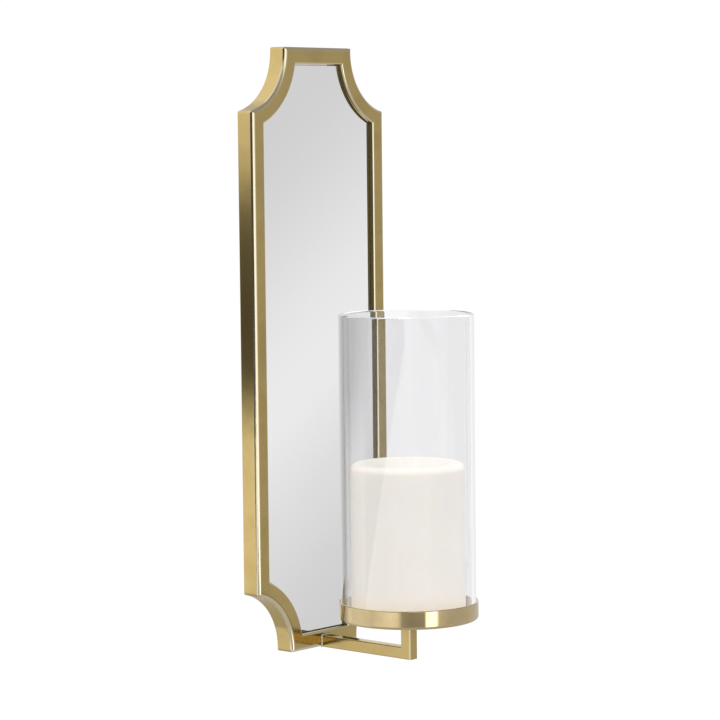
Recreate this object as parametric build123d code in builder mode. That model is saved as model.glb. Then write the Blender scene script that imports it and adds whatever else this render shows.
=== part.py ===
from build123d import *
from math import cos, radians, sin, sqrt
import os

# A wall sconce: a scalloped mirror in a brass bar frame, with an arm that carries a
# candle pan, a pillar candle and an open glass cylinder.
# All sizes are in millimetres. X runs along the wall, Y into the wall and Z up.
# The origin is the middle of the upper keyhole's round entry, in the wall plane.

# Frame, a welded ring of rectangular bar
frame_width = 131.0
frame_height = 406.0
bar_face = 11.5
bar_depth = 14.0
outer_round = 3.0
inner_round = 1.8
back_round = 0.8
corner_round = 2.2
scallop_radius = 41.0
scallop_outset = 9.0
scallop_drop = 2.5
scallop_overrun = 12.0

# Wall hangers: straps across the back, each with a keyhole
keyhole_spacing = 260.0
strap_thickness = 2.0
entry_radius = 4.75
slot_radius = 2.5
slot_rise = 9.0
strap_margin_low = 8.0
strap_margin_high = 15.5

# Mirror and what holds it, from the front to the back
mirror_recess = 3.4
glass_thickness = 2.5
silver_thickness = 0.3
tape_thickness = 0.5
panel_thickness = 2.0
mirror_gap = 0.3
panel_gap = 0.6
tape_width = 20.0
tape_length = 300.0
tape_spread = 31.0

# Welded tabs and their screws, which hold the panel
tab_reach = 9.0
tab_width = 12.0
tab_thickness = 1.2
tab_pitch = 95.0
tab_hole_inset = 4.0
tab_hole_radius = 1.6
screw_head_radius = 2.75
screw_head_height = 1.7
screw_shank_radius = 1.4
screw_bite = 1.6
cross_slot_width = 0.9
cross_slot_length = 3.4
cross_slot_depth = 0.8
thread_gap = 0.05

# Arm, a square bar that runs out from the bottom rail and turns up to the pan
arm_side = 8.0
arm_reach = 74.5
arm_round = 0.9
pan_height_over_frame_bottom = 27.2
weld_size = 1.2
weld_round = 0.8

# Candle pan and its screw
pan_radius = 46.3
pan_height = 12.2
pan_wall = 1.2
pan_floor = 2.5
pan_bottom_round = 2.0
pan_rim_round = 0.5
pan_screw_radius = 2.0
pan_screw_length = 11.0
pan_screw_head_radius = 3.7
pan_screw_sink = 0.2
pan_screw_gap = 0.1
hex_across_flats = 2.5
hex_depth = 1.3
tapped_depth = 10.0

# Glass cylinder, open at both ends, and the pillar candle inside it
cylinder_radius = 44.7
cylinder_wall = 2.4
cylinder_height = 200.0
cylinder_lip_round = 1.1
candle_radius = 38.1
candle_height = 101.6
candle_shoulder = 4.5
candle_foot_round = 1.0
wick_radius = 1.2
wick_stub = 2.0
wick_gap = 0.1

# Places worked out from the sizes above
slot_offset = keyhole_spacing / 2
frame_centre_z = -slot_offset
frame_bottom_z = frame_centre_z - frame_height / 2
inner_half_width = frame_width / 2 - bar_face
scallop_centre_x = frame_width / 2 + scallop_outset
scallop_centre_z = frame_height / 2 - scallop_drop
glass_back_y = -(bar_depth - mirror_recess - glass_thickness)
silver_back_y = glass_back_y + silver_thickness
tape_back_y = silver_back_y + tape_thickness
panel_back_y = tape_back_y + panel_thickness
tab_back_y = panel_back_y + tab_thickness
pan_axis_y = -bar_depth - arm_reach
pan_bottom_z = frame_bottom_z + pan_height_over_frame_bottom
floor_z = pan_bottom_z + pan_floor
tab_heights = [frame_centre_z + row * tab_pitch for row in (1, 0, -1)]
tab_hole_x = inner_half_width - tab_reach + tab_hole_inset
middle_height = Plane.XY.offset(frame_centre_z)


def facing_room(y, z=frame_centre_z):
    """An upright plane at depth y, whose normal points out of the wall."""
    return Plane(origin=(0, y, z), x_dir=(1, 0, 0), z_dir=(0, -1, 0))


def rail_joint(inset):
    """Where the scallop meets the top rail, on the outline moved in by inset."""
    z = frame_height / 2 - inset
    x = scallop_centre_x - sqrt((scallop_radius + inset) ** 2 - (scallop_centre_z - z) ** 2)
    return x, z


def stile_joint(inset):
    """Where the scallop meets the right stile, on the outline moved in by inset."""
    x = frame_width / 2 - inset
    z = scallop_centre_z - sqrt((scallop_radius + inset) ** 2 - (scallop_centre_x - x) ** 2)
    return x, z


def outline(inset):
    """The frame's outline, moved in by inset: straight sides and four concave corners."""
    rail_end = rail_joint(inset)
    stile_end = stile_joint(inset)
    with BuildSketch() as shape:
        with BuildLine():
            Line((0, rail_end[1]), rail_end)
            RadiusArc(rail_end, stile_end, -(scallop_radius + inset))
            Line(stile_end, (stile_end[0], 0))
            mirror(about=Plane.YZ)
            mirror(about=Plane.XZ)
        make_face()
    return shape.sketch


def mitre(joint):
    """The plane of a mitre between two bars; its normal points towards the frame's top."""
    outer = Vector(joint(0)[0], 0, joint(0)[1] + frame_centre_z)
    inner = Vector(joint(bar_face)[0], 0, joint(bar_face)[1] + frame_centre_z)
    along = (outer - inner).normalized()
    return Plane(origin=outer, x_dir=along, z_dir=along.cross(Vector(0, 1, 0)))


def rounded_outline():
    """The frame's outline with its eight outer corners rounded."""
    with BuildSketch() as shape:
        add(outline(0))
        corners = [v for v in shape.vertices() if abs(v.X) > bar_face and abs(v.Y) > bar_face]
        fillet(corners, corner_round)
    return shape.sketch


def corner_trim():
    """The solid that trims the bars to the frame's rounded outer corners."""
    with BuildPart() as trim:
        with BuildSketch(facing_room(0)):
            add(rounded_outline())
        extrude(amount=bar_depth)
    return trim.part


def save(piece, name):
    """Label a finished piece and write its STEP file."""
    piece.part.label = name
    export_step(piece.part, f"parts/{name}.step")


def bar_section():
    """The bar's section: X from its outer side inwards, Y from the wall outwards."""
    with BuildSketch() as section:
        Rectangle(bar_face, bar_depth, align=(Align.MIN, Align.MIN))
        fillet(section.vertices().group_by(Axis.Y)[-1].sort_by(Axis.X)[0], outer_round)
        fillet(section.vertices().group_by(Axis.Y)[-1].sort_by(Axis.X)[-1], inner_round)
        fillet(section.vertices().group_by(Axis.Y)[0].sort_by(Axis.X)[0], back_round)
    return section.sketch


def make_rails():
    """The top rail, cut square to its scallops, and the bottom rail below it."""
    frame_top_z = frame_centre_z + frame_height / 2
    rail_end = Plane(origin=(0, 0, frame_top_z), x_dir=(0, 0, -1), z_dir=(-1, 0, 0))
    with BuildPart() as top_rail:
        with BuildSketch(rail_end):
            add(bar_section())
        extrude(amount=-frame_width / 2)
        split(bisect_by=mitre(rail_joint), keep=Keep.TOP)
        mirror(about=Plane.YZ)
        add(corner_trim(), mode=Mode.INTERSECT)
    save(top_rail, "top_rail")

    with BuildPart() as bottom_rail:
        mirror(top_rail.part, about=middle_height)
    save(bottom_rail, "bottom_rail")


def make_stiles():
    """The two upright bars."""
    stile_foot = (frame_width / 2, 0, frame_centre_z)
    stile_end = Plane(origin=stile_foot, x_dir=(-1, 0, 0), z_dir=(0, 0, 1))
    with BuildPart() as right_stile:
        with BuildSketch(stile_end):
            add(bar_section())
        extrude(amount=frame_height / 2)
        split(bisect_by=mitre(stile_joint), keep=Keep.BOTTOM)
        mirror(about=middle_height)
        add(corner_trim(), mode=Mode.INTERSECT)
    save(right_stile, "right_stile")

    with BuildPart() as left_stile:
        mirror(right_stile.part, about=Plane.YZ)
    save(left_stile, "left_stile")


def make_scallops():
    """The four concave corner bars, each a stretch of a ring that is mitred at both ends."""
    centre = Vector(scallop_centre_x, 0, frame_centre_z + scallop_centre_z)
    start = radians(180 - scallop_overrun)
    towards_bar = Vector(cos(start), 0, sin(start))
    ring_start = centre + towards_bar * scallop_radius
    across = towards_bar.cross(Vector(0, -1, 0))
    ring_end = Plane(origin=ring_start, x_dir=towards_bar, z_dir=across)
    with BuildPart() as scallop:
        with BuildSketch(ring_end):
            add(bar_section())
        revolve(axis=Axis(centre, (0, -1, 0)), revolution_arc=90 + 2 * scallop_overrun)
        split(bisect_by=mitre(rail_joint), keep=Keep.BOTTOM)
        split(bisect_by=mitre(stile_joint), keep=Keep.TOP)
        add(corner_trim(), mode=Mode.INTERSECT)
    save(scallop, "scallop_top_right")

    with BuildPart() as top_left:
        mirror(scallop.part, about=Plane.YZ)
    save(top_left, "scallop_top_left")

    for above, name in ((scallop, "scallop_bottom_right"), (top_left, "scallop_bottom_left")):
        with BuildPart() as below:
            mirror(above.part, about=middle_height)
        save(below, name)


def make_mirror():
    """The glass, its silvering, the foam tape behind it and the backing panel."""
    with BuildPart() as mirror_glass:
        with BuildSketch(facing_room(glass_back_y)):
            add(outline(bar_face + mirror_gap))
        extrude(amount=glass_thickness)
    save(mirror_glass, "mirror_glass")

    with BuildPart() as mirror_silvering:
        with BuildSketch(facing_room(silver_back_y)):
            add(outline(bar_face + mirror_gap))
        extrude(amount=silver_thickness)
    save(mirror_silvering, "mirror_silvering")

    for side, name in ((-1, "mounting_tape_left"), (1, "mounting_tape_right")):
        with BuildPart() as tape:
            with BuildSketch(facing_room(tape_back_y)):
                with Locations((side * tape_spread, 0)):
                    Rectangle(tape_width, tape_length)
            extrude(amount=tape_thickness)
        save(tape, name)

    with BuildPart() as backing_panel:
        with BuildSketch(facing_room(panel_back_y)):
            add(outline(bar_face + panel_gap))
        extrude(amount=panel_thickness)
        with BuildSketch(facing_room(panel_back_y)):
            with GridLocations(2 * tab_hole_x, tab_pitch, 2, len(tab_heights)):
                Circle(screw_shank_radius + thread_gap)
        extrude(amount=screw_bite + thread_gap, mode=Mode.SUBTRACT)
    save(backing_panel, "backing_panel")


def make_tabs():
    """Six tabs, welded to the stiles behind the panel."""
    for side, side_name in ((-1, "left"), (1, "right")):
        for row, height in enumerate(tab_heights, start=1):
            with BuildPart() as tab:
                with BuildSketch(facing_room(tab_back_y, height)):
                    with Locations((side * (inner_half_width - tab_reach / 2), 0)):
                        Rectangle(tab_reach, tab_width)
                    with Locations((side * tab_hole_x, 0)):
                        Circle(tab_hole_radius, mode=Mode.SUBTRACT)
                extrude(amount=tab_thickness)
            save(tab, f"panel_tab_{side_name}_{row}")


def make_panel_screws():
    """Six cross-slotted screws, from the back through the tabs into the panel."""
    with BuildPart() as panel_screws:
        for side in (-1, 1):
            for height in tab_heights:
                with BuildSketch(facing_room(tab_back_y, height)):
                    with Locations((side * tab_hole_x, 0)):
                        Circle(screw_shank_radius)
                extrude(amount=tab_thickness + screw_bite)
                with BuildSketch(facing_room(tab_back_y, height)):
                    with Locations((side * tab_hole_x, 0)):
                        Circle(screw_head_radius)
                extrude(amount=-screw_head_height)
                with BuildSketch(facing_room(tab_back_y + screw_head_height, height)):
                    with Locations((side * tab_hole_x, 0)):
                        Rectangle(cross_slot_length, cross_slot_width)
                        Rectangle(cross_slot_width, cross_slot_length)
                extrude(amount=cross_slot_depth, mode=Mode.SUBTRACT)
    save(panel_screws, "panel_screws")


def make_hangers():
    """Two straps across the back of the frame, each with a keyhole for a wall screw."""
    strap_height = strap_margin_low + strap_margin_high
    strap_middle = (strap_margin_high - strap_margin_low) / 2
    for entry_z, name in ((0, "hanger_strap_upper"), (-keyhole_spacing, "hanger_strap_lower")):
        with BuildPart() as strap:
            with BuildSketch(facing_room(0, entry_z)):
                with Locations((0, strap_middle)):
                    Rectangle(2 * inner_half_width, strap_height)
                Circle(entry_radius, mode=Mode.SUBTRACT)
                with Locations((0, slot_rise)):
                    Circle(slot_radius, mode=Mode.SUBTRACT)
                with Locations((0, slot_rise / 2)):
                    Rectangle(2 * slot_radius, slot_rise, mode=Mode.SUBTRACT)
            extrude(amount=strap_thickness)
        save(strap, name)


def make_arm():
    """The bar that runs out to the pan's axis, the upright on it, and the weld at the rail."""
    arm_middle_z = frame_bottom_z + arm_side / 2
    elbow_y = pan_axis_y - arm_side / 2
    elbow = Plane(origin=(0, elbow_y, frame_bottom_z), x_dir=(1, 0, 0), z_dir=(0, 1, -1))

    with BuildPart() as arm_bar:
        with BuildSketch(facing_room(-bar_depth, arm_middle_z)):
            RectangleRounded(arm_side, arm_side, arm_round)
        extrude(amount=arm_reach + arm_side / 2)
        split(bisect_by=elbow, keep=Keep.TOP)
    save(arm_bar, "arm_bar")

    with BuildPart() as arm_upright:
        with BuildSketch(Plane(origin=(0, pan_axis_y, frame_bottom_z))):
            RectangleRounded(arm_side, arm_side, arm_round)
        extrude(amount=pan_height_over_frame_bottom)
        split(bisect_by=elbow, keep=Keep.BOTTOM)
        with BuildSketch(Plane(origin=(0, pan_axis_y, pan_bottom_z))):
            Circle(pan_screw_radius + thread_gap)
        extrude(amount=-tapped_depth, mode=Mode.SUBTRACT)
    save(arm_upright, "arm_upright")

    with BuildPart() as arm_weld:
        with BuildSketch(facing_room(-bar_depth, arm_middle_z)):
            with Locations((0, weld_size / 2)):
                Rectangle(arm_side + 2 * weld_size, arm_side + weld_size)
            Rectangle(arm_side, arm_side, mode=Mode.SUBTRACT)
        extrude(amount=weld_size)
        outer_edges = arm_weld.faces().sort_by(Axis.Y)[0].edges().sort_by(Axis.Z)
        fillet(outer_edges.filter_by(Axis.X)[-1], weld_round)
    save(arm_weld, "arm_weld")


def make_pan():
    """A shallow round pan with an upright rim, and the screw that holds it to the arm."""
    with BuildPart() as candle_pan:
        with BuildSketch(Plane.XY.offset(pan_bottom_z)):
            with Locations((0, pan_axis_y)):
                Circle(pan_radius)
        extrude(amount=pan_height)
        fillet(candle_pan.edges().group_by(Axis.Z)[0], pan_bottom_round)
        with BuildSketch(Plane.XY.offset(floor_z)):
            with Locations((0, pan_axis_y)):
                Circle(pan_radius - pan_wall)
        extrude(amount=pan_height, mode=Mode.SUBTRACT)
        fillet(candle_pan.edges().group_by(Axis.Z)[-1], pan_rim_round)
        with Locations((0, pan_axis_y, floor_z)):
            sink_radius = pan_screw_head_radius + pan_screw_sink + pan_screw_gap
            CounterSinkHole(pan_screw_radius + pan_screw_gap, sink_radius)
    save(candle_pan, "candle_pan")

    head_top = Plane(origin=(0, pan_axis_y, floor_z - pan_screw_sink))
    with BuildPart() as pan_screw:
        with BuildSketch(head_top):
            Circle(pan_screw_head_radius)
        extrude(amount=-(pan_screw_head_radius - pan_screw_radius), taper=45)
        with BuildSketch(head_top):
            Circle(pan_screw_radius)
        extrude(amount=-pan_screw_length)
        with BuildSketch(head_top):
            RegularPolygon(hex_across_flats / 2, 6, major_radius=False)
        extrude(amount=-hex_depth, mode=Mode.SUBTRACT)
    save(pan_screw, "pan_screw")


def make_cylinder():
    """The clear glass cylinder, open at both ends with fire-rounded lips."""
    with BuildPart() as glass_cylinder:
        with BuildSketch(Plane(origin=(0, pan_axis_y, floor_z))):
            Circle(cylinder_radius)
            Circle(cylinder_radius - cylinder_wall, mode=Mode.SUBTRACT)
        extrude(amount=cylinder_height)
        fillet(glass_cylinder.edges().group_by(Axis.Z)[0], cylinder_lip_round)
        fillet(glass_cylinder.edges().group_by(Axis.Z)[-1], cylinder_lip_round)
    save(glass_cylinder, "glass_cylinder")


def make_candle():
    """A pillar candle with a rounded shoulder, and its wick from top to bottom."""
    with BuildPart() as candle_wax:
        with BuildSketch(Plane(origin=(0, pan_axis_y, floor_z))):
            Circle(candle_radius)
        extrude(amount=candle_height)
        fillet(candle_wax.edges().group_by(Axis.Z)[0], candle_foot_round)
        fillet(candle_wax.edges().group_by(Axis.Z)[-1], candle_shoulder)
        with BuildSketch(Plane(origin=(0, pan_axis_y, floor_z))):
            Circle(wick_radius + wick_gap)
        extrude(amount=candle_height, mode=Mode.SUBTRACT)
    save(candle_wax, "candle_wax")

    with BuildPart() as candle_wick:
        with BuildSketch(Plane(origin=(0, pan_axis_y, floor_z))):
            Circle(wick_radius)
        extrude(amount=candle_height + wick_stub)
    save(candle_wick, "candle_wick")


def main():
    os.makedirs("parts", exist_ok=True)
    make_rails()
    make_stiles()
    make_scallops()
    make_mirror()
    make_tabs()
    make_panel_screws()
    make_hangers()
    make_arm()
    make_pan()
    make_cylinder()
    make_candle()


main()
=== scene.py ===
import math
import random

import bmesh
import bpy
from mathutils import Matrix, Vector, noise


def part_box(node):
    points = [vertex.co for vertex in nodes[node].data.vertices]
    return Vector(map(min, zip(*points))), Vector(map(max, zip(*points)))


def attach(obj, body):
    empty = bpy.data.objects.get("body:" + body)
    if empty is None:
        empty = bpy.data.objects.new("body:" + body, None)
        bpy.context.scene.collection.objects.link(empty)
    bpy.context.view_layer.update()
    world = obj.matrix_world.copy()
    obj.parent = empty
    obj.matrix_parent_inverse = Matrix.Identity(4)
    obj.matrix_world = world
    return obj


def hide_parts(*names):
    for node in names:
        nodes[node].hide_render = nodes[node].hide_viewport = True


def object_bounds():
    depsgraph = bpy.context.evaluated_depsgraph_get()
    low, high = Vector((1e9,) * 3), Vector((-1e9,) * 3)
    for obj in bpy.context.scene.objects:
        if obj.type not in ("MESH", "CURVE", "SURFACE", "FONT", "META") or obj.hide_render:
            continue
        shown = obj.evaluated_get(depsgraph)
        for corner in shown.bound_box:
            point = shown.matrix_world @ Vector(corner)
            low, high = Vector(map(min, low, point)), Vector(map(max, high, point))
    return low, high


# The looks of the wall sconce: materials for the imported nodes, a few finer pieces that
# stand for plain ones, a white studio and the camera. Metres throughout.

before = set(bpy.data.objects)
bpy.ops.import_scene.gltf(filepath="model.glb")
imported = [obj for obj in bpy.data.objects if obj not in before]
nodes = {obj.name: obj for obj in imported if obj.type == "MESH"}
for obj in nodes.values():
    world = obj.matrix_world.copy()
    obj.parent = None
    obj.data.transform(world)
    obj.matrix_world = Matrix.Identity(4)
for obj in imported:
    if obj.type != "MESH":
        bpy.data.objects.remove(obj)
cad_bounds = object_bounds()
random.seed(7)

scene = bpy.context.scene
MM = 0.001
AZIMUTH = 48.6  # the camera stands this many degrees to the left of straight in front


# ---------------------------------------------------------------- node tree helper


class Tree:
    """A short way to write a shader node tree."""

    def __init__(self, owner):
        self.nodes = owner.node_tree.nodes
        self.links = owner.node_tree.links

    def add(self, kind, inputs=None, **settings):
        node = self.nodes.new(kind)
        for key, value in settings.items():
            setattr(node, key, value)
        self.fill(node, inputs or {})
        return node

    def fill(self, node, inputs):
        """Sets a node's inputs, and links those whose value is another node's output."""
        for key, value in inputs.items():
            if isinstance(value, bpy.types.NodeSocket):
                self.links.new(value, node.inputs[key])
            else:
                node.inputs[key].default_value = value

    def math(self, operation, first, second=0.0, third=None):
        inputs = {0: first, 1: second}
        if third is not None:
            inputs[2] = third
        return self.add("ShaderNodeMath", inputs, operation=operation).outputs[0]

    def split(self, vector):
        """The X, Y and Z of a vector."""
        return self.add("ShaderNodeSeparateXYZ", {0: vector}).outputs

    def place(self, scale=(1, 1, 1), offset=(0, 0, 0)):
        """The surface's place on the object, scaled and then moved."""
        coords = self.add("ShaderNodeTexCoord").outputs["Object"]
        inputs = {"Vector": coords, "Scale": scale, "Location": offset}
        return self.add("ShaderNodeMapping", inputs).outputs[0]

    def backward(self):
        """How far the surface faces the wall: 1 straight back, -1 straight to the front."""
        return self.split(self.add("ShaderNodeNewGeometry").outputs["Normal"])[1]

    def noise(self, vector, scale, detail, rough, distort=0.0):
        inputs = {
            "Vector": vector,
            "Scale": scale,
            "Detail": detail,
            "Roughness": rough,
            "Distortion": distort,
        }
        return self.add("ShaderNodeTexNoise", inputs).outputs["Fac"]

    def remap(self, value, low, high, to_low=0.0, to_high=1.0):
        inputs = {0: value, 1: low, 2: high, 3: to_low, 4: to_high}
        return self.add("ShaderNodeMapRange", inputs).outputs[0]

    def ramp(self, value, stops):
        """Colours by value: each stop is a position and (red, green, blue)."""
        node = self.add("ShaderNodeValToRGB", {"Fac": value})
        elements = node.color_ramp.elements
        while len(elements) < len(stops):
            elements.new(0.5)
        for element, (position, colour) in zip(elements, stops):
            element.position = position
            element.color = (*colour, 1.0)
        return node.outputs["Color"]

    def greys(self, value, stops):
        """Greys by value: each stop is a position and a brightness."""
        return self.ramp(value, [(position, (grey,) * 3) for position, grey in stops])

    def mix(self, factor, first, second):
        """Two colours mixed, each a node's output or (red, green, blue)."""
        colours = [
            (*colour, 1) if isinstance(colour, tuple) else colour for colour in (first, second)
        ]
        # Of this node's inputs, 6 and 7 are its two colours.
        inputs = {0: factor, 6: colours[0], 7: colours[1]}
        return self.add("ShaderNodeMix", inputs, data_type="RGBA").outputs[2]

    def bump(self, height, distance, strength, under=None):
        """A bumpy normal, on top of the one under it."""
        inputs = {"Height": height, "Distance": distance, "Strength": strength}
        if under is not None:
            inputs["Normal"] = under
        return self.add("ShaderNodeBump", inputs).outputs[0]


def new_material(name):
    """A material, with its tree and its Principled shader."""
    material = bpy.data.materials.new(name)
    material.use_nodes = True
    return material, Tree(material), material.node_tree.nodes["Principled BSDF"]


# ---------------------------------------------------------------- materials

LIGHT_BRASS = (0.66, 0.50, 0.205)
DARK_BRASS = (0.58, 0.42, 0.155)
RUBBED_BRASS = (0.86, 0.76, 0.55)
SPOT_SHARES = (0.62, 0.55, 0.5)  # how dark a tarnish spot is, as shares of the dark brass


def rounding_mask(tree):
    """1 on the bars' roundings, between their faces and their sides, and 0 elsewhere."""
    facing = tree.math("ABSOLUTE", tree.backward())
    past_side = tree.remap(facing, 0.12, 0.42)
    before_face = tree.remap(facing, 0.90, 0.99, 1.0, 0.0)
    return tree.math("MULTIPLY", past_side, before_face)


def brass(name, grain, rough=(0.10, 0.17), light=LIGHT_BRASS, dark=DARK_BRASS):
    """Polished brass. Grain is how the polishing lines are stretched: a scale for each
    axis, small along the lines. Rough is the least and the most roughness."""
    material, tree, shader = new_material(name)
    lines = tree.noise(tree.place(grain), scale=1.0, detail=6.0, rough=0.7)
    cloud = tree.noise(
        tree.place(offset=(3, 1, 2)), scale=42.0, detail=4.0, rough=0.6, distort=0.6
    )
    specks = tree.noise(tree.place(offset=(8, 5, 1)), scale=900.0, detail=3.0, rough=0.65)
    waves = tree.noise(tree.place(offset=(1, 4, 6)), scale=95.0, detail=1.0, rough=0.4)

    tarnish = tree.remap(cloud, 0.42, 0.72)
    spots = tree.remap(specks, 0.64, 0.8, 0.0, 0.3)
    spot_tone = tuple(part * share for part, share in zip(dark, SPOT_SHARES))
    worn = tree.math(
        "MULTIPLY", rounding_mask(tree), tree.remap(lines, 0.25, 0.55, 0.55, 1.0)
    )
    tone = tree.mix(tarnish, light, dark)
    tone = tree.mix(spots, tone, spot_tone)
    tone = tree.mix(worn, tone, RUBBED_BRASS)

    satin = tree.remap(lines, 0.3, 0.7, *rough)
    satin = tree.math("ADD", satin, tree.math("MULTIPLY", tarnish, 0.04))
    satin = tree.math("MULTIPLY", satin, tree.remap(worn, 0.0, 1.0, 1.0, 0.6))

    grain_bump = tree.bump(lines, distance=0.012 * MM, strength=0.5)
    inputs = {
        "Base Color": tone,
        "Roughness": satin,
        "Metallic": 1.0,
        "Coat Weight": 0.1,
        "Coat Roughness": 0.06,
        "Normal": tree.bump(waves, distance=0.12 * MM, strength=0.3, under=grain_bump),
    }
    tree.fill(shader, inputs)
    return material


def pan_brass_material():
    """Spun brass: polished, with faint rings about the pan's axis."""
    material, tree, shader = new_material("pan_spun_brass")
    low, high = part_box("candle_pan")
    axis = (low + high) / 2
    x, y, z = tree.split(tree.place(offset=(-axis.x, -axis.y, 0)))
    x_squared = tree.math("MULTIPLY", x, x)
    y_squared = tree.math("MULTIPLY", y, y)
    radius = tree.math("SQRT", tree.math("ADD", x_squared, y_squared))
    rings_at = tree.add("ShaderNodeCombineXYZ", {0: radius, 1: 0.0, 2: z}).outputs[0]
    rings = tree.noise(rings_at, scale=2600.0, detail=3.0, rough=0.6)
    cloud = tree.noise(
        tree.place(offset=(5, 2, 9)), scale=55.0, detail=3.0, rough=0.6, distort=0.5
    )
    tarnish = tree.remap(cloud, 0.45, 0.75)
    polish = tree.remap(rings, 0.3, 0.7, 0.035, 0.08)
    inputs = {
        "Base Color": tree.mix(tarnish, (0.74, 0.585, 0.325), (0.66, 0.50, 0.25)),
        "Roughness": tree.math("ADD", polish, tree.math("MULTIPLY", tarnish, 0.03)),
        "Metallic": 1.0,
        "Coat Weight": 0.3,
        "Coat Roughness": 0.06,
        "Normal": tree.bump(rings, distance=0.008 * MM, strength=0.35),
    }
    tree.fill(shader, inputs)
    return material


def steel_material():
    """Zinc-plated steel of the screws."""
    material, tree, shader = new_material("zinc_steel")
    cloud = tree.noise(tree.place(), scale=700.0, detail=4.0, rough=0.6)
    inputs = {
        "Base Color": tree.mix(cloud, (0.62, 0.63, 0.64), (0.45, 0.45, 0.44)),
        "Roughness": tree.remap(cloud, 0.3, 0.7, 0.22, 0.42),
        "Metallic": 1.0,
        "Normal": tree.bump(cloud, distance=0.03 * MM, strength=0.4),
    }
    tree.fill(shader, inputs)
    return material


def mirror_glass_material():
    """The mirror: a silvered face, and float glass's green at the ground edge."""
    material, tree, shader = new_material("mirror_float_glass")
    face = tree.remap(tree.math("ABSOLUTE", tree.backward()), 0.97, 0.99)
    cloud = tree.noise(tree.place(), scale=26.0, detail=4.0, rough=0.55, distort=0.8)
    silver = tree.mix(cloud, (0.945, 0.94, 0.942), (0.93, 0.926, 0.928))
    inputs = {
        "Base Color": tree.mix(face, (0.20, 0.27, 0.22), silver),
        "Metallic": face,
        "Roughness": tree.remap(face, 0.0, 1.0, 0.25, 0.0),
    }
    tree.fill(shader, inputs)
    return material


def silver_material():
    """Silvering behind the glass, and its grey paint on the back."""
    material, tree, shader = new_material("mirror_silver")
    painted = tree.remap(tree.backward(), -0.5, 0.0)
    cloud = tree.noise(tree.place(), scale=18.0, detail=3.0, rough=0.5)
    silver = tree.mix(cloud, (0.93, 0.93, 0.93), (0.90, 0.905, 0.90))
    paint = tree.mix(cloud, (0.21, 0.20, 0.20), (0.17, 0.165, 0.16))
    inputs = {
        "Base Color": tree.mix(painted, silver, paint),
        "Metallic": tree.remap(painted, 0.0, 1.0, 1.0, 0.0),
        "Roughness": tree.remap(painted, 0.0, 1.0, 0.05, 0.6),
    }
    tree.fill(shader, inputs)
    return material


def clear_glass_material():
    """Blown clear glass: a little waviness and a few faint marks."""
    material, tree, shader = new_material("clear_cylinder_glass")
    marks = tree.noise(
        tree.place(scale=(1, 1, 0.35)), scale=30.0, detail=4.0, rough=0.6, distort=1.0
    )
    waves = tree.noise(
        tree.place(scale=(1, 1, 0.3), offset=(2, 2, 2)), scale=22.0, detail=1.0, rough=0.4
    )
    inputs = {
        "Base Color": (0.905, 0.90, 0.908, 1),
        "Roughness": tree.remap(marks, 0.55, 0.85, 0.0, 0.03),
        "IOR": 1.47,
        "Transmission Weight": 1.0,
        "Normal": tree.bump(waves, distance=0.15 * MM, strength=0.3),
    }
    tree.fill(shader, inputs)
    return material


def wax_material():
    """Ivory wax: translucent, faintly mottled, with a soft bloom."""
    material, tree, shader = new_material("ivory_wax")
    mottle = tree.noise(tree.place(), scale=60.0, detail=5.0, rough=0.6, distort=0.7)
    bloom = tree.noise(
        tree.place(scale=(1, 1, 0.4), offset=(4, 4, 1)), scale=220.0, detail=4.0, rough=0.6
    )
    patches = tree.remap(mottle, 0.35, 0.7)
    mottle_bump = tree.bump(mottle, distance=0.35 * MM, strength=0.35)
    inputs = {
        "Base Color": tree.mix(patches, (0.888, 0.866, 0.82), (0.865, 0.836, 0.78)),
        "Subsurface Weight": 0.6,
        "Subsurface Radius": (1.0, 0.72, 0.5),
        "Subsurface Scale": 5 * MM,
        "Roughness": tree.remap(bloom, 0.3, 0.7, 0.36, 0.52),
        "Normal": tree.bump(bloom, distance=0.06 * MM, strength=0.35, under=mottle_bump),
    }
    tree.fill(shader, inputs)
    return material


def wick_material():
    """Waxed cotton."""
    material, tree, shader = new_material("waxed_cotton")
    fibres = tree.noise(tree.place(scale=(1, 1, 0.25)), scale=4200.0, detail=4.0, rough=0.6)
    inputs = {
        "Base Color": tree.mix(fibres, (0.88, 0.84, 0.77), (0.74, 0.69, 0.61)),
        "Roughness": 0.75,
        "Normal": tree.bump(fibres, distance=0.1 * MM, strength=0.7),
    }
    tree.fill(shader, inputs)
    return material


def board_material():
    """Hardboard: brown fibre, lighter and darker in small flecks and broad clouds."""
    material, tree, shader = new_material("hardboard")
    fibre = tree.noise(
        tree.place(scale=(1, 1, 0.55)), scale=620.0, detail=6.0, rough=0.75, distort=0.5
    )
    cloud = tree.noise(tree.place(offset=(2, 7, 3)), scale=14.0, detail=3.0, rough=0.55)
    flecks = tree.math("MULTIPLY", fibre, 0.7)
    shade = tree.math("ADD", flecks, tree.math("MULTIPLY", cloud, 0.3))
    browns = [
        (0.33, (0.070, 0.034, 0.016)),
        (0.50, (0.175, 0.092, 0.046)),
        (0.66, (0.290, 0.170, 0.092)),
    ]
    inputs = {
        "Base Color": tree.ramp(shade, browns),
        "Roughness": tree.remap(fibre, 0.3, 0.7, 0.55, 0.78),
        "Normal": tree.bump(fibre, distance=0.12 * MM, strength=0.5),
    }
    tree.fill(shader, inputs)
    return material


def foam_material():
    """Foam tape, off-white with small open cells."""
    material, tree, shader = new_material("foam_tape")
    cell_inputs = {"Vector": tree.place(), "Scale": 1800.0}
    cells = tree.add("ShaderNodeTexVoronoi", cell_inputs).outputs["Distance"]
    inputs = {
        "Base Color": tree.mix(cells, (0.72, 0.71, 0.68), (0.52, 0.51, 0.49)),
        "Roughness": 0.9,
        "Normal": tree.bump(cells, distance=0.1 * MM, strength=0.6),
    }
    tree.fill(shader, inputs)
    return material


ALONG = 2.6  # the grain's scale along the polishing lines
ACROSS = 900.0  # and across them

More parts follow.
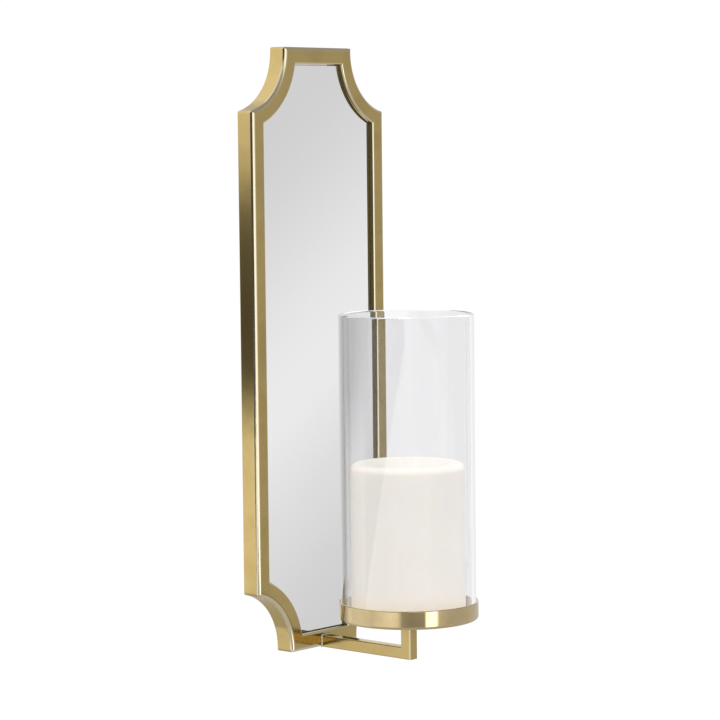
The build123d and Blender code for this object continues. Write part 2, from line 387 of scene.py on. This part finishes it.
rail_brass = brass("brass_rails", (ALONG, ACROSS, ACROSS))
stile_brass = brass("brass_stiles", (ACROSS, ACROSS, ALONG))
scallop_brass = brass("brass_scallops", (140.0, 700.0, 140.0), rough=(0.11, 0.18))
arm_brass = brass("brass_arm", (ACROSS, ALONG, ACROSS))
upright_brass = brass("brass_upright", (ACROSS, ACROSS, ALONG))
weld_brass = brass(
    "brass_weld", (500.0, 500.0, 500.0), rough=(0.12, 0.22), light=(0.88, 0.72, 0.42)
)
back_brass = brass(
    "brass_back",
    (ALONG, ACROSS, ACROSS),
    rough=(0.26, 0.40),
    light=(0.70, 0.51, 0.22),
    dark=(0.55, 0.38, 0.15),
)
zinc = steel_material()
wax = wax_material()
mirror_face = mirror_glass_material()
cotton = wick_material()
foam = foam_material()

node_materials = {
    "top_rail": rail_brass,
    "bottom_rail": rail_brass,
    "left_stile": stile_brass,
    "right_stile": stile_brass,
    "arm_bar": arm_brass,
    "arm_upright": upright_brass,
    "arm_weld": weld_brass,
    "candle_pan": pan_brass_material(),
    "pan_screw": zinc,
    "panel_screws": zinc,
    "mirror_glass": mirror_face,
    "mirror_silvering": silver_material(),
    "backing_panel": board_material(),
    "hanger_strap_upper": back_brass,
    "hanger_strap_lower": back_brass,
    "glass_cylinder": clear_glass_material(),
    "candle_wax": wax,
    "candle_wick": cotton,
}
for side in ("left", "right"):
    node_materials[f"mounting_tape_{side}"] = foam
    for level in ("top", "bottom"):
        node_materials[f"scallop_{level}_{side}"] = scallop_brass
    for row in (1, 2, 3):
        node_materials[f"panel_tab_{side}_{row}"] = back_brass
for name, node in nodes.items():
    node.material_slots[0].material = node_materials[name]


# ---------------------------------------------------------------- finer pieces


def add_piece(name, mesh_data, material, body, stands_for):
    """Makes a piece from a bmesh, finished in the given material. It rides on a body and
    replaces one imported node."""
    mesh = bpy.data.meshes.new(name)
    mesh_data.to_mesh(mesh)
    mesh_data.free()
    mesh.materials.append(material)
    for face in mesh.polygons:
        face.use_smooth = True
    piece = bpy.data.objects.new(name, mesh)
    scene.collection.objects.link(piece)
    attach(piece, body)
    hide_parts(stands_for)
    return piece


def join_rings(mesh, rings):
    """Faces between neighbouring rings of as many points each."""
    for lower, upper in zip(rings, rings[1:]):
        for here in range(len(lower)):
            following = (here + 1) % len(lower)
            mesh.faces.new((lower[here], lower[following], upper[following], upper[here]))


def cap_ends(mesh, rings):
    """One face over the first ring and one over the last."""
    mesh.faces.new(list(reversed(rings[0])))
    mesh.faces.new(rings[-1])


def lathe(profile, sides, shift):
    """Turns a profile of (radius, height) points, whose first and last lie on the axis.
    shift(radius, angle, height) gives each point's own change of radius and height."""
    mesh = bmesh.new()
    rings = []
    for radius, height in profile[1:-1]:
        ring = []
        for side in range(sides):
            angle = math.tau * side / sides
            out, up = shift(radius, angle, height)
            x = (radius + out) * math.cos(angle)
            y = (radius + out) * math.sin(angle)
            ring.append(mesh.verts.new((x, y, height + up)))
        rings.append(ring)
    join_rings(mesh, rings)
    for ring, (_, height) in ((rings[0], profile[0]), (rings[-1], profile[-1])):
        tip = mesh.verts.new((0, 0, height))
        for here in range(sides):
            mesh.faces.new((ring[here], ring[(here + 1) % sides], tip))
    bmesh.ops.recalc_face_normals(mesh, faces=mesh.faces)
    return mesh


def candle():
    """A poured pillar: rounded shoulder, slightly dished top, faint unevenness."""
    low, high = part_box("candle_wax")
    radius = (high.x - low.x) / 2
    height = high.z - low.z
    middle = (low + high) / 2
    shoulder = 4.5 * MM
    foot = 1.2 * MM
    flat = radius - shoulder  # the top's radius inside the shoulder
    dish = 0.9 * MM
    dish_slope = 0.35 * flat  # how wide the slope into the dish is
    hump = 0.5 * MM  # the wax that creeps up the wick
    hump_width = 3.2 * MM

    base_steps = 8
    foot_steps = 6
    side_steps = 60
    shoulder_steps = 16
    top_steps = 30

    profile = [(0, 0)]
    for step in range(1, base_steps + 1):
        profile.append(((radius - foot) * step / base_steps, 0))
    for step in range(1, foot_steps + 1):
        angle = math.pi / 2 * step / foot_steps
        out = radius - foot + foot * math.sin(angle)
        profile.append((out, foot - foot * math.cos(angle)))
    for step in range(1, side_steps):
        profile.append((radius, foot + (height - shoulder - foot) * step / side_steps))
    for step in range(shoulder_steps + 1):
        angle = math.pi / 2 * step / shoulder_steps
        out = flat + shoulder * math.cos(angle)
        profile.append((out, height - shoulder + shoulder * math.sin(angle)))
    for step in range(1, top_steps):
        out = flat * (1 - step / top_steps)
        sunk = 0.5 - 0.5 * math.cos(math.pi * min(1, (flat - out) / dish_slope))
        crept = hump * math.exp(-((out / hump_width) ** 2))
        profile.append((out, height - dish * sunk + crept))
    profile.append((0, height - dish + hump))

    swing = 1.6  # how fast the unevenness changes round the candle
    climb = 28  # and up it, per metre
    finer = 3.1  # how much finer its second layer is
    coarse_share = 0.5
    fine_share = 0.22
    side_depth = 0.28 * MM
    side_sink = 0.22 * MM  # keeps the side within the candle's radius
    side_fade = 8 * MM  # how high over the foot the unevenness is full
    top_depth = 0.3 * MM
    top_sink = 0.1 * MM
    top_starts = height - 1.2 * MM

    def shift(out, angle, up):
        """In and out on the side, up and down on the top, and nothing at the foot."""
        if up < foot:
            return 0, 0
        spot = Vector((math.cos(angle) * swing, math.sin(angle) * swing, up * climb))
        uneven = noise.noise(spot) * coarse_share + noise.noise(spot * finer) * fine_share
        if up > top_starts and out < flat:
            return 0, (uneven * top_depth - top_sink) * min(1, out / flat * 3)
        fade = min(1, (up - foot) / side_fade)
        return (uneven * side_depth - side_sink) * fade, 0

    mesh = lathe(profile, sides=128, shift=shift)
    bmesh.ops.translate(mesh, verts=mesh.verts, vec=(middle.x, middle.y, low.z))
    return add_piece("pillar_candle", mesh, wax, "candle", "candle_wax")


def wick():
    """Three twisted strands of waxed cotton, from inside the wax to just over the top."""
    low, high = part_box("candle_wick")
    wax_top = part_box("candle_wax")[1].z
    middle = (low + high) / 2
    strand = 0.62 * MM  # a strand's radius
    lay = 0.52 * MM  # how far its middle runs from the wick's
    pitch = 3.6 * MM  # the height of one twist
    stub = 0.9 * MM  # how far it stands over the wax
    start = wax_top - 6 * MM
    length = wax_top + stub - start
    strands = 3
    steps = 48
    sides = 10
    tip_steps = 3  # the steps over which a strand's tip is rounded
    blunt = 0.06  # keeps the tip from closing to a point
    mesh = bmesh.new()
    for number in range(strands):
        rings = []
        for step in range(steps + 1):
            rise = length * step / steps
            turn = math.tau * (rise / pitch + number / strands)
            outward = Vector((math.cos(turn), math.sin(turn), 0))
            around = Vector((-math.sin(turn), math.cos(turn), 0))
            along = (around * lay * math.tau / pitch + Vector((0, 0, 1))).normalized()
            cross = along.cross(outward).normalized()
            tip = max(0.0, 1 - (steps - step) / tip_steps)
            thick = strand * math.sqrt(max(blunt, 1 - tip * tip))
            centre = outward * lay + Vector((0, 0, start + rise))
            ring = []
            for side in range(sides):
                angle = math.tau * side / sides
                edge = outward * math.cos(angle) + cross * math.sin(angle)
                ring.append(mesh.verts.new(centre + edge * thick))
            rings.append(ring)
        join_rings(mesh, rings)
        cap_ends(mesh, rings)
    bmesh.ops.recalc_face_normals(mesh, faces=mesh.faces)
    bmesh.ops.translate(mesh, verts=mesh.verts, vec=(middle.x, middle.y, 0))
    return add_piece("braided_wick", mesh, cotton, "candle", "candle_wick")


def weld():
    """A rippled bead of braze round the left, the top and the right of the arm's root."""
    low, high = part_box("arm_weld")
    arm_low, arm_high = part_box("arm_bar")
    half = (arm_high.x - arm_low.x) / 2
    front = Vector((0, high.y, 0))
    bead = high.y - low.y
    left = Vector((-1, 0, 0))
    right = Vector((1, 0, 0))
    up = Vector((0, 0, 1))
    bottom_left = left * half + up * arm_low.z
    top_left = left * half + up * arm_high.z
    top_right = right * half + up * arm_high.z
    bottom_right = right * half + up * arm_low.z

    count = 14  # steps along each side of the bar
    runs = [
        (bottom_left, top_left, left),
        (top_left, top_right, up),
        (top_right, bottom_right, right),
    ]
    route = [bottom_left]
    for start, end, _ in runs:
        route += [start.lerp(end, step / count) for step in range(1, count + 1)]

    sides = 9
    under = 0.3 * MM  # how deep the bead's inner edge is set in the bar
    mean_size = 0.74  # as a share of the room for the bead
    ripple = 0.26
    ripple_turn = 1.7  # radians of ripple from one step to the next
    end_size = 0.55
    flattened = 0.92  # the bead's round side, pulled in a little
    mesh = bmesh.new()
    rings = []
    for number, point in enumerate(route):
        # At a corner of the bar the bead points between its two sides.
        out = Vector((0, 0, 0))
        for run, (_, _, outward) in enumerate(runs):
            if run * count <= number <= (run + 1) * count:
                out += outward
        out.normalize()
        swell = math.sin(number * ripple_turn) * (0.6 + 0.4 * random.random())
        share = mean_size + ripple * swell
        if number in (0, len(route) - 1):
            share = end_size
        size = bead * share
        ring = [mesh.verts.new(point + front - out * under)]
        for side in range(sides):
            angle = math.pi / 2 * side / (sides - 1)
            reach = size * (flattened if 0 < side < sides - 1 else 1.0)
            forward = Vector((0, -reach * math.cos(angle), 0))
            place = point + front + forward + out * reach * math.sin(angle)
            place.z = min(max(place.z, low.z), high.z)
            place.x = min(max(place.x, low.x), high.x)
            ring.append(mesh.verts.new(place))
        rings.append(ring)
    join_rings(mesh, rings)
    cap_ends(mesh, rings)
    bmesh.ops.recalc_face_normals(mesh, faces=mesh.faces)
    add_piece("weld_bead", mesh, weld_brass, "sconce", "arm_weld")


def mirror_pane():
    """The mirror's glass with ground edges."""
    mesh = bmesh.new()
    mesh.from_mesh(nodes["mirror_glass"].data)
    bmesh.ops.remove_doubles(mesh, verts=mesh.verts, dist=0.002 * MM)
    bmesh.ops.dissolve_limit(
        mesh, angle_limit=math.radians(0.2), verts=mesh.verts, edges=mesh.edges
    )
    piece = add_piece(
        "mirror_pane", mesh, mirror_face, "sconce", "mirror_glass"
    )
    for face in piece.data.polygons:
        face.use_smooth = False
    ground = piece.modifiers.new("ground_edge", "BEVEL")
    ground.width = 0.35 * MM
    ground.segments = 2
    ground.limit_method = "ANGLE"
    ground.angle_limit = math.radians(60)


weld()
mirror_pane()
# The mirror shows the studio's soft light and not the pieces in front of it.
for unmirrored in (candle(), wick(), nodes["glass_cylinder"], nodes["candle_pan"]):
    unmirrored.visible_glossy = False
# The clear glass doesn't dim the light that falls on the candle.
nodes["glass_cylinder"].visible_diffuse = False


# ---------------------------------------------------------------- studio

SQUARE = ((-1, -1), (1, -1), (1, 1), (-1, 1))  # a plane's corners, in order


def glowing_material(name, strength):
    """A white glow, with its tree and its emission node."""
    material = bpy.data.materials.new(name)
    material.use_nodes = True
    tree = Tree(material)
    tree.nodes.clear()
    glow = tree.add("ShaderNodeEmission", {"Color": (1, 1, 1, 1), "Strength": strength})
    tree.add("ShaderNodeOutputMaterial", {0: glow.outputs[0]})
    return material, tree, glow


def stage_plane(name, corners, material, unseen_by):
    """A flat piece of the studio, which the named kinds of ray don't see."""
    mesh = bpy.data.meshes.new(name)
    mesh.from_pydata(corners, [], [(0, 1, 2, 3)])
    mesh.materials.append(material)
    plane = bpy.data.objects.new(name, mesh)
    scene.collection.objects.link(plane)
    for ray in unseen_by:
        setattr(plane, "visible_" + ray, False)


def studio_floor():
    """A white floor, just under the sconce."""
    half_size = 30.0
    height = cad_bounds[0][2] - 1 * MM
    corners = [(half_size * i, half_size * j, height) for i, j in SQUARE]
    material, _, _ = glowing_material("floor_white", 1.02)
    stage_plane("floor", corners, material, ("glossy", "transmission", "shadow"))


def side_card():
    """An upright glowing card, seen only in reflections. It stands where the frame's left
    side reflects the camera's view to: light above and below, with a dark gap between."""
    half_width = 0.16
    half_height = 0.45
    distance = 0.34
    height = -0.15
    turn = math.radians(AZIMUTH)
    outward = Vector((-math.sin(turn), math.cos(turn), 0))
    sideways = Vector((math.cos(turn), math.sin(turn), 0))
    low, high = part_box("left_stile")
    centre = Vector((low.x, (low.y + high.y) / 2, height)) + outward * distance
    corners = [
        tuple(centre + sideways * half_width * i + Vector((0, 0, half_height * j)))
        for i, j in SQUARE
    ]
    material, tree, glow = glowing_material("side_card", 1.0)
    up = tree.split(tree.place())[2]
    part_way_up = tree.remap(up, height - half_height, height + half_height)
    stops = [
        (0.0, 0.80), (0.25, 0.82), (0.30, 1.0), (0.412, 1.0), (0.445, 0.50),
        (0.472, 0.10), (0.53, 0.09), (0.59, 0.13), (0.625, 0.24), (0.65, 0.68),
        (0.69, 0.88), (0.75, 1.0), (1.0, 1.0),
    ]
    tree.fill(glow, {"Color": tree.greys(part_way_up, stops)})
    unseen_by = ("camera", "diffuse", "shadow", "volume_scatter", "transmission")
    stage_plane("side_card", corners, material, unseen_by)


class Way:
    """Which way a ray leaves the scene: its turn, 0 straight in front of the sconce and
    growing to the right, and its rise, the sine of its angle above the horizon. Low is
    1 where it points more than about 9 degrees down."""

    def __init__(self, tree):
        self.tree = tree
        x, y, self.rise = tree.split(tree.add("ShaderNodeTexCoord").outputs["Generated"])
        turn = tree.math("ARCTAN2", x, tree.math("MULTIPLY", y, -1.0))
        self.degrees = tree.math("MULTIPLY", turn, math.degrees(1))
        self.around = tree.remap(turn, -math.pi, math.pi)
        self.low = tree.remap(self.rise, -0.152, -0.142, 1.0, 0.0)

    def wall(self, stops):
        """Light by turn: each stop is a turn in degrees and a brightness."""
        parts = [((degrees + 180) / 360, brightness) for degrees, brightness in stops]
        return self.tree.greys(self.around, parts)


def brass_light(tree, way):
    """What the brass shows: walls with bright and dark zones, and a softer ceiling."""
    low_wall = way.wall([
        (-180, 0.42), (-163, 0.95), (-140, 0.60), (-117, 0.76), (-80, 1.06), (-68, 1.00),
        (-60, 0.36), (-46, 0.28), (-23, 0.34), (-20, 2.60), (-5, 2.60), (1, 0.66),
        (26, 0.52), (48, 0.52), (80, 0.58), (110, 0.60), (180, 0.42),
    ])
    left_wall = way.wall([
        (-180, 0.5), (-150, 0.5), (-128, 0.10), (-60, 0.06), (-30, 0.20), (180, 0.5),
    ])
    right_wall = way.wall([
        (-180, 1.3), (-9, 1.3), (3, 0.76), (22, 0.56), (48, 0.49), (80, 0.50),
        (115, 0.85), (180, 0.85),
    ])
    # The edge between the left and the right wall leans, and is softer lower down.
    edge = tree.remap(way.rise, -0.1115, -0.095, -75.0, -50.0)
    blur = tree.remap(way.rise, -0.125, -0.095, 14.0, 1.5)
    beyond = tree.math("DIVIDE", tree.math("SUBTRACT", way.degrees, edge), blur)
    walls = tree.mix(tree.remap(beyond, -1.0, 1.0), left_wall, right_wall)
    walls = tree.mix(way.low, walls, low_wall)

    height = tree.remap(way.rise, -1.0, 1.0)
    above_right = tree.greys(height, [
        (0.0, 0.50), (0.38, 0.55), (0.62, 0.60), (0.72, 0.40), (0.85, 0.32), (1.0, 0.30),
    ])
    above_left = tree.greys(height, [
        (0.0, 0.50), (0.38, 0.55), (0.60, 0.98), (0.75, 1.10), (1.0, 0.95),
    ])
    rightward = tree.math(
        "MULTIPLY",
        tree.remap(way.degrees, -110.0, -50.0),
        tree.remap(way.degrees, 130.0, 165.0, 1.0, 0.0),
    )
    above = tree.mix(rightward, above_left, above_right)
    steep = tree.remap(tree.math("ABSOLUTE", way.rise), 0.22, 0.48)
    return tree.mix(steep, walls, above)


def mirror_light(tree, way):
    """What the mirror shows: a broad soft slanting band of light, and wider ones beside
    it, which the other views see."""
    rise = tree.math("MULTIPLY", tree.math("ARCSINE", way.rise), math.degrees(1))
    aside = tree.math("SUBTRACT", way.degrees, AZIMUTH)
    slant = tree.math("SUBTRACT", aside, rise)
    band = tree.greys(tree.remap(slant, -2.0, 10.0), [
        (0.00, 0.675), (0.08, 0.695), (0.18, 0.745), (0.29, 0.81), (0.38, 0.857),
        (0.46, 0.882), (0.53, 0.878), (0.60, 0.83), (0.67, 0.783), (0.74, 0.748),
        (0.82, 0.70), (0.92, 0.665), (1.00, 0.655),
    ])
    swell_turn = 0.11  # radians of swell for each degree
    swell = tree.math("SINE", tree.math("MULTIPLY", slant, swell_turn))
    wide = tree.remap(swell, -1.0, 1.0, 0.60, 0.84)
    far = tree.remap(tree.math("ABSOLUTE", aside), 14.0, 24.0)
    return tree.mix(far, band, wide)


def inner_glass_light(tree, way):
    """What the glass cylinder's inner face shows: a light wall past a slanted edge."""
    edge = tree.remap(way.rise, -0.16, -0.05, -164.8, -51.8)
    past_edge = tree.remap(tree.math("SUBTRACT", way.degrees, edge), -1.5, 1.5)
    light_wall = way.wall([
        (-180, 2.0), (24, 2.0), (50, 1.5), (70, 1.0), (90, 0.75), (131, 0.55), (180, 0.55),
    ])
    return tree.mix(past_edge, (0.1, 0.1, 0.1), light_wall)


def reflected_light(tree, way, path):
    """The light that reflections show. Rays off the mirror and off clean glass are
    singular, and those that the satin brass spreads aren't."""
    singular = path["Is Singular Ray"]
    once = tree.mix(singular, brass_light(tree, way), mirror_light(tree, way))
    on_inner_face = tree.math("COMPARE", path["Transmission Depth"], 1.0, 0.5)
    once = tree.mix(on_inner_face, once, inner_glass_light(tree, way))

    # After two reflections, as in the frame's inner corners, brass shows dark except in
    # one low strip, and the mirror shows dark on the left.
    singular_twice = way.wall([(-30, 0.13), (0, 0.75), (180, 0.75)])
    bright_strip = tree.math("MULTIPLY", way.low, tree.remap(way.rise, -0.26, -0.20))
    spread_twice = tree.mix(bright_strip, (0.13, 0.13, 0.12), (0.98, 0.93, 0.83))
    twice = tree.mix(singular, spread_twice, singular_twice)
    return tree.mix(tree.math("GREATER_THAN", path["Glossy Depth"], 1.5), once, twice)


def build_world():
    """The studio's light: white to the camera, one light for reflections and a soft one
    for what lights the surfaces."""
    world = bpy.data.worlds.new("studio")
    scene.world = world
    world.use_nodes = True
    tree = Tree(world)
    tree.nodes.clear()
    way = Way(tree)
    path = tree.add("ShaderNodeLightPath").outputs
    # Soft light is a little stronger from above, and stronger past the glass, which makes
    # up for what the glass takes.
    soft = tree.math(
        "MULTIPLY",
        tree.remap(way.rise, -1.0, 1.0, 1.02, 1.18),
        tree.remap(path["Transmission Depth"], 0.0, 1.0, 1.0, 1.6),
    )
    seen = {"Color": (1, 1, 1, 1), "Strength": 1.02}
    reflected = {"Color": reflected_light(tree, way, path), "Strength": 1.0}
    lighting = {"Color": (1, 0.99, 0.975, 1), "Strength": soft}
    chosen = tree.add("ShaderNodeBackground", seen)
    lights = (("Glossy Depth", reflected), ("Diffuse Depth", lighting))
    for depth, inputs in lights:
        bounced = tree.math("GREATER_THAN", path[depth], 0.5)
        light = tree.add("ShaderNodeBackground", inputs)
        sockets = {0: bounced, 1: chosen.outputs[0], 2: light.outputs[0]}
        chosen = tree.add("ShaderNodeMixShader", sockets)
    tree.add("ShaderNodeOutputWorld", {0: chosen.outputs[0]})


studio_floor()
side_card()
build_world()
scene.view_settings.view_transform = "Standard"


# ---------------------------------------------------------------- camera


def place_camera():
    """A long lens, nearly level, round to the left of the sconce."""
    turn = math.radians(AZIMUTH)
    drop = math.radians(4.56)  # how far it looks down
    roll = math.radians(-0.6)
    distance = 1.865
    moved_right = 0.0253
    moved_down = 0.0075
    target = Vector((0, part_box("left_stile")[0].y, (cad_bounds[0][2] + cad_bounds[1][2]) / 2))
    level = Vector((math.sin(turn), math.cos(turn), 0))
    forward = level * math.cos(drop) - Vector((0, 0, math.sin(drop)))
    right = Vector((math.cos(turn), -math.sin(turn), 0))
    up = right.cross(forward)
    place = target + right * moved_right - up * moved_down - forward * distance
    tilted_right = right * math.cos(roll) + up * math.sin(roll)
    tilted_up = up * math.cos(roll) - right * math.sin(roll)

    data = bpy.data.cameras.new("camera")
    data.sensor_width = 36.0
    data.lens = 137.9
    data.clip_end = 200.0
    camera = bpy.data.objects.new("camera", data)
    scene.collection.objects.link(camera)
    axes = Matrix((tilted_right, tilted_up, -forward)).transposed().to_4x4()
    camera.matrix_world = Matrix.Translation(place) @ axes
    scene.camera = camera


place_camera()
